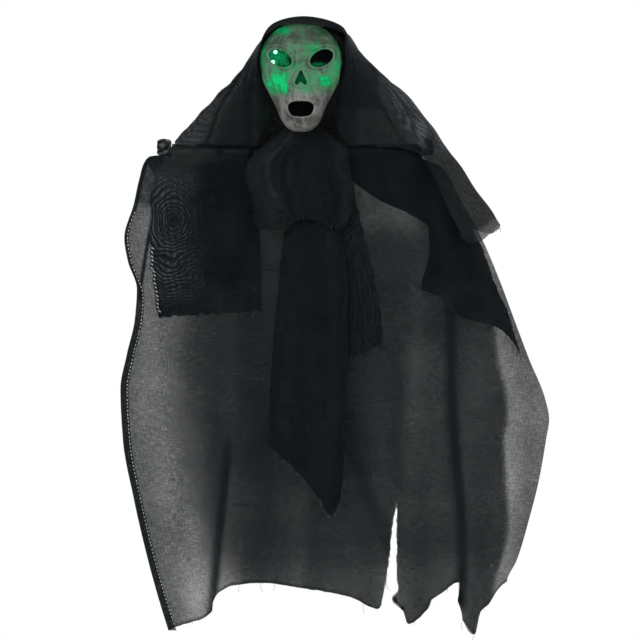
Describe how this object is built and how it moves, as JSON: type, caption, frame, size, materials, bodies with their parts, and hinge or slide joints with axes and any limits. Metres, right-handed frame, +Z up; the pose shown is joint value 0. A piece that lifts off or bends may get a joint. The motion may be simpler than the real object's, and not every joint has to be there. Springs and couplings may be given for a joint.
{
  "type": "hanging ghost decoration",
  "caption": "Hanging hooded figure with a lit face mask and long draped gauze over a shoulder bar, hung by a folding ring on its crown.",
  "frame": {"origin": "centre of the straight side of the hanging ring, on the crown of the head", "axes": "+X to the right of someone facing the mask, +Y to the back, +Z up"},
  "size_m": [0.6233, 0.16, 0.8988],
  "materials": {
    "battery_door": "moulded, matte, with grip ribs",
    "bracket_screw_front": "bright plated steel",
    "bracket_screw_rear": "bright plated steel",
    "case_screw_lower": "bright plated steel",
    "case_screw_upper": "bright plated steel",
    "circuit_board": "solder-masked board",
    "coin_cell_1": "bright plated steel",
    "coin_cell_2": "bright plated steel",
    "coin_cell_3": "bright plated steel",
    "contact_leaf": "bright plated steel",
    "contact_plate": "bright plated steel",
    "dome_screw_left": "bright plated steel",
    "dome_screw_right": "bright plated steel",
    "driver_chip": "moulded chip",
    "hang_bracket": "bright plated steel",
    "hang_ring": "bright plated steel",
    "head_dome": "moulded, matte",
    "hood_cape": "black open-weave gauze, crumpled, see-through in one layer",
    "lamp_case_front": "moulded, matte",
    "lamp_case_rear": "moulded, matte",
    "lead_black": "insulated lead",
    "lead_red": "insulated lead",
    "led_lower": "clear green lens",
    "led_upper": "clear green lens",
    "mask_plate": "flat black sheet",
    "mask_shell": "thin moulded shell painted bone grey with dark ageing",
    "neck_post": "extruded tube, pale",
    "post_screw": "bright plated steel",
    "robe_back": "black open-weave gauze, crumpled, see-through in one layer",
    "robe_front": "black open-weave gauze, crumpled, see-through in one layer",
    "rod_knot_left": "black open-weave gauze, crumpled, see-through in one layer",
    "rod_knot_right": "black open-weave gauze, crumpled, see-through in one layer",
    "scarf_bib": "black open-weave gauze, crumpled, see-through in one layer",
    "scarf_knot": "black open-weave gauze, crumpled, see-through in one layer",
    "scarf_tail_front": "black open-weave gauze, crumpled, see-through in one layer",
    "scarf_tail_rear": "black open-weave gauze, crumpled, see-through in one layer",
    "shoulder_rod": "plain dowel",
    "shoulder_tee": "moulded, matte",
    "sleeve_left": "black open-weave gauze, crumpled, see-through in one layer",
    "sleeve_right": "black open-weave gauze, crumpled, see-through in one layer",
    "switch_body": "bright plated steel",
    "switch_slider": "moulded, off white",
    "tee_screw": "bright plated steel"
  },
  "bodies": {
    "figure": {"bracket_screw_front": "bracket_screw_front", "bracket_screw_rear": "bracket_screw_rear", "case_screw_lower": "case_screw_lower", "case_screw_upper": "case_screw_upper", "circuit_board": "circuit_board", "coin_cell_1": "coin_cell_1", "coin_cell_2": "coin_cell_2", "coin_cell_3": "coin_cell_3", "contact_leaf": "contact_leaf", "contact_plate": "contact_plate", "dome_screw_left": "dome_screw_left", "dome_screw_right": "dome_screw_right", "driver_chip": "driver_chip", "hang_bracket": "hang_bracket", "head_dome": "head_dome", "hood_cape": "hood_cape", "lamp_case_front": "lamp_case_front", "lamp_case_rear": "lamp_case_rear", "lead_black": "lead_black", "lead_red": "lead_red", "led_lower": "led_lower", "led_upper": "led_upper", "mask_plate": "mask_plate", "mask_shell": "mask_shell", "neck_post": "neck_post", "post_screw": "post_screw", "robe_back": "robe_back", "robe_front": "robe_front", "rod_knot_left": "rod_knot_left", "rod_knot_right": "rod_knot_right", "scarf_bib": "scarf_bib", "scarf_knot": "scarf_knot", "scarf_tail_front": "scarf_tail_front", "scarf_tail_rear": "scarf_tail_rear", "shoulder_rod": "shoulder_rod", "shoulder_tee": "shoulder_tee", "sleeve_left": "sleeve_left", "sleeve_right": "sleeve_right", "switch_body": "switch_body", "tee_screw": "tee_screw"},
    "ring": {"hang_ring": "hang_ring"},
    "door": {"battery_door": "battery_door"},
    "slider": {"switch_slider": "switch_slider"}
  },
  "joints": [
    {"name": "ring_swing", "type": "hinge", "parent": "figure", "child": "ring", "pos_m": [0, 0, 0], "axis": [1, 0, 0], "range_deg": [0, 176]},
    {"name": "door_slide", "type": "slide", "parent": "figure", "child": "door", "axis": [1, 0, 0], "range_m": [0, 0.022]},
    {"name": "switch_slide", "type": "slide", "parent": "figure", "child": "slider", "axis": [1, 0, 0], "range_m": [0, 0.003]}
  ]
}
